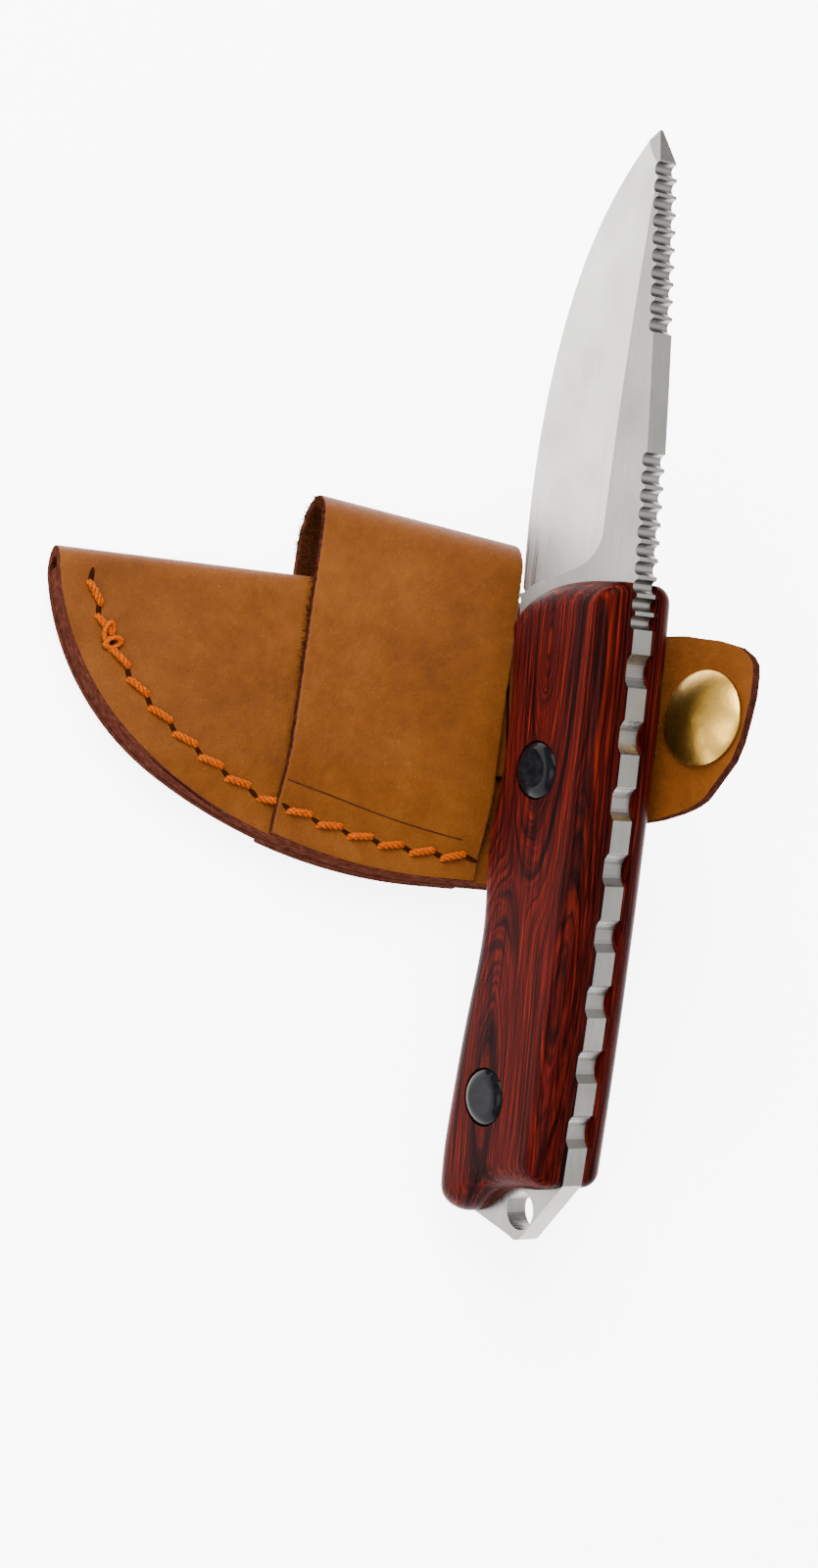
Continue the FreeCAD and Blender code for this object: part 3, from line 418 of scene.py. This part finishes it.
# ---------------------------------------------------------------- sheath: welt
# Leather strip between the panels along the seam, so that the edge cuts no stitches.
# It is caught in the seam, and its cut edge is dyed like the panels' edges.

WELT_WIDTH, WELT_INSET, WELT_SLACK = 0.009, 0.0001, 0.00004

welt = cut_leather("welt_leather", columns=150, rows=6)
for point in welt.data.vertices:
    run = FOLD_RUN + (SEAM_RUN - FOLD_RUN) * point.co.x
    place = seam(run, WELT_WIDTH * point.co.y + WELT_INSET)
    point.co = (place.x, place.y, front_height(place.y) - LEATHER - WELT_SLACK)
bpy.ops.object.mode_set(mode="EDIT")
bpy.ops.mesh.select_all(action="SELECT")
# the lower face is flattened onto the back panel
bpy.ops.mesh.extrude_region_move(TRANSFORM_OT_translate={"value": (0, 0, -0.0001)})
bpy.ops.transform.resize(value=(1, 1, 0), center_override=(0, 0, BACK_Z + LEATHER + WELT_SLACK))
bpy.ops.mesh.select_all(action="SELECT")
bpy.ops.mesh.normals_make_consistent(inside=False)
bpy.ops.object.mode_set(mode="OBJECT")
welt.data.materials.append(edge)
bpy.ops.object.shade_smooth_by_angle(angle=LEATHER_CRISP)
stand_for(welt, "sheath", "welt")

# ---------------------------------------------------------------- sheath: belt loop
# A wide strap whose two ends are caught in the seam. It lies under the back panel,
# bends round beyond the fold and comes back over the front; a belt goes between.

LOOP_WIDTH, LOOP_X, LOOP_TURN = 0.041, 0.0146, math.radians(-7.0)
LOOP_BEND_Y, LOOP_RADIUS = 0.034, 0.0075
LOOP_RAMP = (-0.0246, -0.0085)
LOOP_LOW_Z, LOOP_HIGH_Z = SEAM_Z + LEATHER, 0.0148
LOOP_LIFT, LOOP_LIFT_LONG = 0.0002, 0.04
LOOP_WAVE = 0.0003
FRAY, FRAYS_ACROSS, FRAYS_ALONG, FRAY_SLICE = 0.00035, 9, 160, 4.2
END_ROUNDS = 8
LEAF_SHARE = 0.42
ARC_JOIN_X = -0.0291
loop_seat = Matrix.Translation((LOOP_X, 0, 0)) @ Matrix.Rotation(LOOP_TURN, 4, "Z")


def loop_end(across):
    """Where the loop's long edge meets the cut edge of the seam, in the loop's own frame."""
    along = SEAM_LOW_Y
    for _ in range(END_ROUNDS):
        here = loop_seat @ Vector((across, along, 0))
        if here.x > LOW_CENTRE.x:
            edge_y = SEAM_LOW_Y
        elif here.x > ARC_JOIN_X:
            edge_y = LOW_CENTRE.y - math.sqrt(LOW_RADIUS ** 2 - (here.x - LOW_CENTRE.x) ** 2)
        else:
            edge_y = TIP_CENTRE.y - math.sqrt(TIP_RADIUS ** 2 - (here.x - TIP_CENTRE.x) ** 2)
        along += edge_y - here.y
    return along


def loop_top(along):
    """Height of the loop's front leaf over the panel, in the loop's own frame."""
    lift = LOOP_LIFT * min(max((along - LOOP_RAMP[1]) / LOOP_LIFT_LONG, 0), 1)
    return LOOP_LOW_Z + (LOOP_HIGH_Z - LOOP_LOW_Z) * eased_share(along, *LOOP_RAMP) + lift


def loop_place(across, v, deep=0.0):
    """Place on the loop: v from the seam over the front, round the bend and back below."""
    first = loop_end(across)
    if v <= LEAF_SHARE:
        along = first + (LOOP_BEND_Y - first) * v / LEAF_SHARE
        height = loop_top(along) + leather_wave(across, along, LOOP_WAVE) - deep
    elif v < 1 - LEAF_SHARE:
        turn = math.pi / 2 - math.pi * (v - LEAF_SHARE) / (1 - 2 * LEAF_SHARE)
        wave = leather_wave(across, LOOP_BEND_Y, LOOP_WAVE) * max(math.sin(turn), 0)
        along = LOOP_BEND_Y + (LOOP_RADIUS - deep) * math.cos(turn)
        height = LOOP_RADIUS + (LOOP_RADIUS - deep) * math.sin(turn) + wave
    else:
        along = LOOP_BEND_Y + (first - LOOP_BEND_Y) * (v - 1 + LEAF_SHARE) / LEAF_SHARE
        height = deep
    return loop_seat @ Vector((across, along, height))


loop = cut_leather("belt_loop_leather", columns=56, rows=190)
for point in loop.data.vertices:
    u, v = point.co.x, point.co.y
    fray = 0.0
    if u in (0.0, 1.0):
        fray = FRAY * abs(noise.noise(Vector((u * FRAYS_ACROSS, v * FRAYS_ALONG, FRAY_SLICE))))
    point.co = loop_place((LOOP_WIDTH - 2 * fray) * (u - 0.5), v)
finish_leather(loop, "sheath", "belt_loop")

# ---------------------------------------------------------------- sheath: loose fibres
# Short fibres of the leather itself. The belt loop's cut edge was never burnished at
# the bend, so they stand off it there.

FIBRES, FIBRE_RADIUS, TABLE_CLEAR = 190, 0.000075, 0.0001
FIBRE_SHARES, FIBRE_DEPTHS, FIBRE_INSET = (0.22, 0.60), (0.0003, 0.0019), 0.0002
FIBRE_REACH, FIBRE_SWAY, FIBRE_DROOP = (0.0004, 0.0010), 0.0007, 0.0005
FIBRE_CURL, FIBRE_ELBOW = 0.0003, 0.55

dice = random.Random(11)
hairs = bpy.data.curves.new("loop_fibres", "CURVE")
hairs.dimensions = "3D"
hairs.bevel_depth = FIBRE_RADIUS
hairs.bevel_resolution = 1
hairs.use_fill_caps = True
loop_way = loop_seat.to_3x3()
for _ in range(FIBRES):
    foot = loop_place(
        FIBRE_INSET - LOOP_WIDTH / 2, dice.uniform(*FIBRE_SHARES), dice.uniform(*FIBRE_DEPTHS))
    out = loop_way @ Vector((
        -dice.uniform(*FIBRE_REACH), dice.uniform(-FIBRE_SWAY, FIBRE_SWAY),
        dice.uniform(-FIBRE_DROOP, FIBRE_DROOP)))
    curl = Vector((0, 0, dice.uniform(-FIBRE_CURL, FIBRE_CURL)))
    hair = hairs.splines.new("POLY")
    hair.points.add(2)
    for point, place in zip(hair.points, (foot, foot + out * FIBRE_ELBOW, foot + out + curl)):
        point.co = (place.x, place.y, max(place.z, TABLE_CLEAR), 1)
loop_fibres = bpy.data.objects.new("loop_fibres", hairs)
bpy.context.collection.objects.link(loop_fibres)
loop_fibres.data.materials.append(flesh)
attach(loop_fibres, "sheath")

# ---------------------------------------------------------------- sheath: strap root
# Narrow root of the keeper strap, of the same leather. It is sewn to the front panel
# under the belt loop.

ROOT_X, ROOT_Y = (0.0201, 0.0371), (-0.008, 0.014)
ROOT_GAP, ROOT_TAPER = 0.0001, 0.12
ROOT_TOP = FRONT_Z + ROOT_GAP + LEATHER

root = cut_leather("strap_root_leather", columns=20, rows=24)
for point in root.data.vertices:
    x = ROOT_X[0] + (ROOT_X[1] - ROOT_X[0]) * point.co.x
    taper = 1 - ROOT_TAPER * (1 - point.co.x) ** 3
    middle = sum(ROOT_Y) / 2
    y = middle + (ROOT_Y[1] - ROOT_Y[0]) * (point.co.y - 0.5) * taper
    point.co = (x, y, ROOT_TOP)
finish_leather(root, "sheath", "strap_root")

# ---------------------------------------------------------------- sheath: keeper strap
# The strap leaves the loop, turns up and lies along the handle. Its end is cut askew
# with round corners, and the snap's cap is riveted through it.

STRAP_Y, STRAP_WIDTH = -0.0033, 0.034
STRAP_FOOT, STRAP_KNEE = 0.0375, Vector((0.0393, 0.0, 0.0117))
STRAP_SLOPE, STRAP_BEND = math.radians(66.8), 0.0025
STRAP_WAY = Vector((math.cos(STRAP_SLOPE), 0, math.sin(STRAP_SLOPE)))
STRAP_OUT = Vector((-math.sin(STRAP_SLOPE), 0, math.cos(STRAP_SLOPE)))
KNEE_RUN = 0.0014
STRAP_CURL, CURLS, CURL_SLICE, CURL_START = 0.0002, 60, 1.0, 0.02
STRAP_END = [
    # across from the middle, and how far from the knee the strap's cut end lies
    (-0.0170, 0.0360), (-0.0164, 0.0411), (-0.0157, 0.0442), (-0.0146, 0.0466), (-0.0085, 0.0529),
    (-0.0053, 0.0547), (-0.0015, 0.0561), (0.0026, 0.0574), (0.0064, 0.0580), (0.0084, 0.0580),
    (0.0100, 0.0571), (0.0120, 0.0548), (0.0138, 0.0505), (0.0148, 0.0467), (0.0160, 0.0426),
    (0.0170, 0.0360)]


def strap_line(run):
    """Middle line of the strap: a short foot, a bend, then straight. Gives place and slope."""
    tangent = STRAP_BEND * math.tan(STRAP_SLOPE / 2)
    foot = STRAP_KNEE.x - STRAP_FOOT - tangent
    arc = STRAP_BEND * STRAP_SLOPE
    if run < foot:
        return Vector((STRAP_FOOT + run, 0, STRAP_KNEE.z)), 0.0
    if run < foot + arc:
        turn = (run - foot) / STRAP_BEND
        return Vector((STRAP_FOOT + foot + STRAP_BEND * math.sin(turn), 0,
                       STRAP_KNEE.z + STRAP_BEND * (1 - math.cos(turn)))), turn
    return STRAP_KNEE + STRAP_WAY * (run - foot - arc + tangent), STRAP_SLOPE


def strap_reach(across):
    """How far the end reaches at a place across the strap, bend included."""
    for (low, short), (high, long) in zip(STRAP_END, STRAP_END[1:]):
        if across <= high:
            break
    return short + (long - short) * (across - low) / (high - low) + KNEE_RUN


strap = cut_leather("keeper_strap_leather", columns=100, rows=60)
for point in strap.data.vertices:
    side = 2 * point.co.y - 1
    across = STRAP_WIDTH / 2 * math.sin(side * math.pi / 2)
    run = point.co.x * strap_reach(across)
    middle, slope = strap_line(run)
    out = Vector((-math.sin(slope), 0, math.cos(slope)))
    ripple = noise.noise(Vector((run * CURLS, across * CURLS, CURL_SLICE)))
    curl = STRAP_CURL * ripple * min(run / CURL_START, 1)
    point.co = middle + out * (LEATHER / 2 + curl) + Vector((0, STRAP_Y + across, 0))
finish_leather(strap, "strap", "keeper_strap")

# ---------------------------------------------------------------- sheath: snap
# Cap, socket, stud and post of aged brass, its tarnish varying at random, with fine pits
# in relief. The cap's stem is riveted through the strap, and the post through the pocket.

SNAP_CRISP = 40
CAP_REACH = 0.0469
CAP_PROFILE = [
    # radius and height over the leather, from the stem's end to the crown
    (0.0015, -0.0032), (0.0015, 0.0), (0.0082, 0.0), (0.0086, 0.00015), (0.0087, 0.0005),
    (0.00868, 0.00085), (0.0084, 0.00112), (0.0078, 0.00152), (0.0070, 0.0020), (0.0060, 0.0025),
    (0.0050, 0.00291), (0.0040, 0.00324), (0.0030, 0.00349), (0.0020, 0.00366), (0.0010, 0.00377),
    (0.0003, 0.0038)]

brass, shader, tree = new_finish("aged_brass", {"Metallic": 1.0})
tarnish = speckle(tree, own_place(tree), scale=260, detail=7, rough=0.68)
pits = speckle(tree, own_place(tree), scale=1400, rough=0.6)
patina = shades(tree, tarnish, [
    (0.30, (0.22, 0.115, 0.019)), (0.46, (0.34, 0.195, 0.034)), (0.66, (0.42, 0.255, 0.050))])
feed(tree, shader, patina, roughness=spread(tree, tarnish, 0.42, 0.28), normal=relief(tree, pits, 0.00004))

bpy.ops.object.select_all(action="DESELECT")
bpy.ops.mesh.primitive_circle_add(
    vertices=112, radius=CAP_PROFILE[0][0], fill_type="NGON", location=(0, 0, CAP_PROFILE[0][1]))
cap = bpy.context.object
cap.name = "snap_cap_dome"
bpy.ops.object.transform_apply()
bpy.ops.object.mode_set(mode="EDIT")
bpy.ops.mesh.select_all(action="SELECT")
for (old, low), (new, high) in zip(CAP_PROFILE, CAP_PROFILE[1:]):
    bpy.ops.mesh.extrude_region_move(TRANSFORM_OT_translate={"value": (0, 0, high - low)})
    bpy.ops.transform.resize(value=(new / old, new / old, 1), center_override=(0, 0, high))
bpy.ops.mesh.select_all(action="SELECT")
bpy.ops.mesh.normals_make_consistent(inside=False)
bpy.ops.object.mode_set(mode="OBJECT")
cap.rotation_euler = (0, -STRAP_SLOPE, 0)
cap.location = STRAP_KNEE + STRAP_WAY * CAP_REACH + STRAP_OUT * LEATHER / 2 + Vector((0, STRAP_Y, 0))
bpy.ops.object.transform_apply()
bpy.ops.object.shade_smooth_by_angle(angle=math.radians(SNAP_CRISP))
cap.data.materials.append(brass)
stand_for(cap, "strap", "snap_cap")
for node, body in (("snap_socket", "strap"), ("snap_stud", "sheath"), ("snap_post", "sheath")):
    dress(node, body, node + "_brass", brass, SNAP_CRISP)

# ---------------------------------------------------------------- sheath: awl slits
# Slits made with a flat awl, a step apart along an arc inside the cut edge, slanting
# across the seam. Each is drawn as a thin dark lens let into the face of the leather:
# painted shade standing for the shadowed hole.

STITCH_CENTRE = Vector((0.030, 0.028))
STITCH_REACH = (0.0754, 0.0518)
STITCH_STEP = 0.00625
FIRST_SLIT_DROP, LAST_SLIT_X = 0.0062, 0.027
SLIT_SIZE, SLIT_SLANT = (0.0036, 0.0010, 0.00044), math.radians(20)
AHEAD = 0.02


def stitch_place(angle):
    """Place on the arc that the stitches follow."""
    return STITCH_CENTRE - Vector((STITCH_REACH[0] * math.cos(angle), STITCH_REACH[1] * math.sin(angle)))


def stitch_angles():
    """Angles of the slits along the seam, one step of arc apart."""
    angle = math.asin(FIRST_SLIT_DROP / STITCH_REACH[1])
    found = [angle]
    while stitch_place(angle).x < LAST_SLIT_X:
        speed = math.hypot(STITCH_REACH[0] * math.sin(angle), STITCH_REACH[1] * math.cos(angle))
        angle += STITCH_STEP / speed
        found.append(angle)
    return found


def seam_top(place):
    """Top of the leather under a stitch: front panel, or the belt loop over it."""
    here = loop_seat.inverted() @ Vector((place.x, place.y, 0))
    if abs(here.x) < LOOP_WIDTH / 2:
        return loop_top(here.y)
    return front_height(place.y)


def join_pieces(pieces, name, finish):
    """Joins loose pieces into one smooth piece with one finish."""
    select_only(pieces[0])
    for piece in pieces:
        piece.select_set(True)
    bpy.ops.object.join()
    whole = bpy.context.object
    whole.name = name
    whole.data.materials.clear()
    whole.data.materials.append(finish)
    bpy.ops.object.shade_smooth()
    return whole


# painted shade: a near-black finish for the lenses, in place of the shadow inside each slit
painted_slit_shade, shader, tree = new_finish("painted_slit_shade", {"Roughness": 0.95, "Specular IOR Level": 0.0})
slit_shade_noise = speckle(tree, own_place(tree), scale=3000)
feed(tree, shader, shades(tree, slit_shade_noise, [(0.3, (0.004, 0.001, 0.0005)), (0.7, (0.02, 0.006, 0.002))]))
angles = stitch_angles()
slits = []
for angle in angles:
    here, ahead = stitch_place(angle), stitch_place(angle + AHEAD)
    heading = math.atan2(ahead.y - here.y, ahead.x - here.x) - SLIT_SLANT
    bpy.ops.mesh.primitive_uv_sphere_add(
        segments=20, ring_count=10, radius=0.5,
        location=(here.x, here.y, seam_top(here)), rotation=(0, 0, heading))
    slit = bpy.context.object
    slit.scale = SLIT_SIZE
    bpy.ops.object.transform_apply()
    slits.append(slit)
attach(join_pieces(slits, "painted_slit_shades", painted_slit_shade), "sheath")

# ---------------------------------------------------------------- sheath: scribed line
# A fine dark line scribed across the belt loop's front leaf, above the seam. It
# follows the leather's rise and fall.

SCRIBE_RADIUS, SCRIBE_PROUD = 0.00011, 0.00003
SCRIBED_LINE = [
    (-0.0069, -0.0127), (-0.0030, -0.0137), (0.0020, -0.0149), (0.0060, -0.0160), (0.0100, -0.0170),
    (0.0140, -0.0180), (0.0190, -0.0190), (0.0240, -0.0199), (0.0286, -0.0206)]

scribed = bpy.data.curves.new("loop_crease", "CURVE")
scribed.dimensions = "3D"
scribed.bevel_depth = SCRIBE_RADIUS
scribed.use_fill_caps = True
line = scribed.splines.new("NURBS")
line.points.add(len(SCRIBED_LINE) - 1)
for point, (x, y) in zip(line.points, SCRIBED_LINE):
    leaf = loop_seat.inverted() @ Vector((x, y, 0))
    point.co = (x, y, loop_top(leaf.y) + leather_wave(leaf.x, leaf.y, LOOP_WAVE) + SCRIBE_PROUD, 1)
line.order_u = 4
line.use_endpoint_u = True
crease = bpy.data.objects.new("loop_crease", scribed)
bpy.context.collection.objects.link(crease)
crease.data.materials.append(edge)
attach(crease, "sheath")

# ---------------------------------------------------------------- sheath: seam thread
# Waxed orange thread of three strands. Each stitch comes up through one slit, lies
# on the leather and goes down through the next, aslant to the seam.

STRANDS, STRAND_POINTS, STRAND_TURNS = 3, 22, 1.7
STRAND_RADIUS, STRAND_WIDE = 0.00035, 0.00040
STITCH_LONG, STITCH_RISE, STITCH_SINK = 0.0056, 0.00050, 0.0013
STITCH_SLANT = math.radians(16)
BACK_ROW_END_X = -0.0115

thread, shader, tree = new_finish("waxed_thread", {"Roughness": 0.5, "Specular IOR Level": 0.03})
fluff = speckle(tree, own_place(tree), scale=2600, detail=5, rough=0.7)
wax = shades(tree, fluff, [
    (0.3, (0.09, 0.011, 0.0001)), (0.55, (0.26, 0.043, 0.0002)), (0.8, (0.50, 0.115, 0.0006))])
feed(tree, shader, wax, normal=relief(tree, fluff, 0.00012))


def twist_stitch():
    """One stitch along X: three strands wound round each other, both ends going down."""
    strands = bpy.data.curves.new("stitch", "CURVE")
    strands.dimensions = "3D"
    strands.bevel_depth = STRAND_RADIUS
    strands.bevel_resolution = 2
    strands.resolution_u = 3
    for strand in range(STRANDS):
        spline = strands.splines.new("NURBS")
        spline.points.add(STRAND_POINTS - 1)
        for number, point in enumerate(spline.points):
            share = number / (STRAND_POINTS - 1)
            turn = 2 * math.pi * (share * STRAND_TURNS + strand / STRANDS)
            lift = STITCH_RISE * math.sin(math.pi * share) ** 0.5 - STITCH_SINK * abs(2 * share - 1) ** 9
            wide = STRAND_WIDE * (1 - 0.4 * abs(2 * share - 1) ** 4)
            point.co = (STITCH_LONG * (share - 0.5), wide * math.cos(turn), lift + wide * math.sin(turn), 1)
        spline.order_u = 4
        spline.use_endpoint_u = True
    piece = bpy.data.objects.new("stitch", strands)
    bpy.context.collection.objects.link(piece)
    select_only(piece)
    bpy.ops.object.convert(target="MESH")
    return bpy.context.object


def sew(stitch, middle, height, heading, lie):
    """A copy of the stitch, laid at its place on the leather."""
    copy = stitch.copy()
    copy.data = stitch.data.copy()
    bpy.context.collection.objects.link(copy)
    copy.data.transform(
        Matrix.Translation((middle.x, middle.y, height)) @ Matrix.Rotation(heading, 4, "Z") @ lie)
    return copy


stitch = twist_stitch()
front_row, back_row = [], []
for begin, end in zip(angles, angles[1:]):
    a, b = stitch_place(begin), stitch_place(end)
    middle = (a + b) / 2
    heading = math.atan2(b.y - a.y, b.x - a.x) + STITCH_SLANT
    tilt = math.atan2(seam_top(b) - seam_top(a), (b - a).length)
    front_row.append(sew(stitch, middle, seam_top(middle), heading, Matrix.Rotation(-tilt, 4, "Y")))
    if b.x < BACK_ROW_END_X:
        back_row.append(sew(stitch, middle, BACK_Z, heading, Matrix.Rotation(math.pi, 4, "X")))
bpy.data.objects.remove(stitch)
for row, face in ((front_row, "front"), (back_row, "back")):
    stitches = join_pieces(row, "seam_stitches_" + face, thread)
    stand_for(stitches, "sheath", "seam_thread_" + face)

# ---------------------------------------------------------------- sheath: seam knot
# The thread is tied off near the tip in a small knot of two loops, pulled down on the
# leather. It is the same waxed thread as the stitches.

KNOT_THREAD, KNOT_TILT, KNOT_SQUEEZE = 0.00048, math.radians(28), (1.35, 0.8, 1.0)
KNOT_Z = FRONT_Z + 0.0006
KNOT_LOOPS = [
    # place, turn and radius
    (-0.0413, 0.0118, math.radians(70), 0.0012),
    (-0.0404, 0.0098, math.radians(20), 0.0011)]

knot_loops = []
for x, y, turn, radius in KNOT_LOOPS:
    bpy.ops.mesh.primitive_torus_add(
        major_radius=radius, minor_radius=KNOT_THREAD, major_segments=28, minor_segments=12,
        location=(x, y, KNOT_Z), rotation=(KNOT_TILT, 0, turn))
    knot_loop = bpy.context.object
    knot_loop.scale = KNOT_SQUEEZE
    bpy.ops.object.transform_apply()
    knot_loops.append(knot_loop)
knot = join_pieces(knot_loops, "seam_knot", thread)
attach(knot, "sheath")
